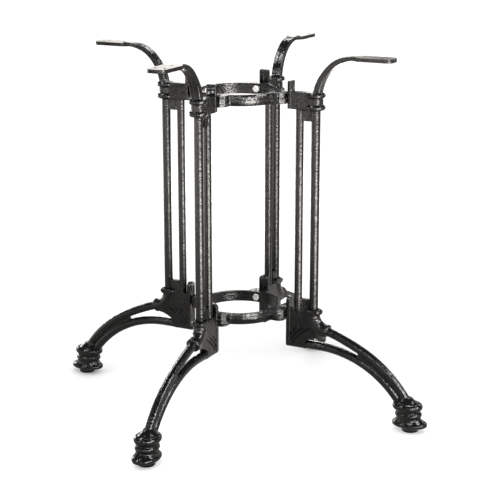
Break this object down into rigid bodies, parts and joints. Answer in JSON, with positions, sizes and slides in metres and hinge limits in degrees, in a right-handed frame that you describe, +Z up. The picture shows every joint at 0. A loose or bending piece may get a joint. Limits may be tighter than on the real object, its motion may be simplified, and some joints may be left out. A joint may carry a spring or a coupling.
{
  "type": "cast iron table base",
  "caption": "Cast iron table base: curved legs with twin columns, split foot bars and moulded feet, bolted to an upper and a lower ring, with screw pads for a table top.",
  "frame": {"origin": "on the floor, on the upright axis that the legs stand around", "axes": "+Z up; legs point along +X, +Y, -X and -Y"},
  "size_m": [0.8148, 0.8148, 0.72],
  "materials": {
    "black_enamel": "glossy black paint over cast skin, with an orange-peel surface",
    "zinc_steel": "bright zinc plating"
  },
  "bodies": {
    "root": {"leg_right": "black_enamel", "leg_back": "black_enamel", "leg_left": "black_enamel", "leg_front": "black_enamel", "upper_ring": "black_enamel", "lower_ring": "black_enamel", "upper_ring_bolts": "zinc_steel", "lower_ring_bolts": "zinc_steel"}
  },
  "joints": []
}
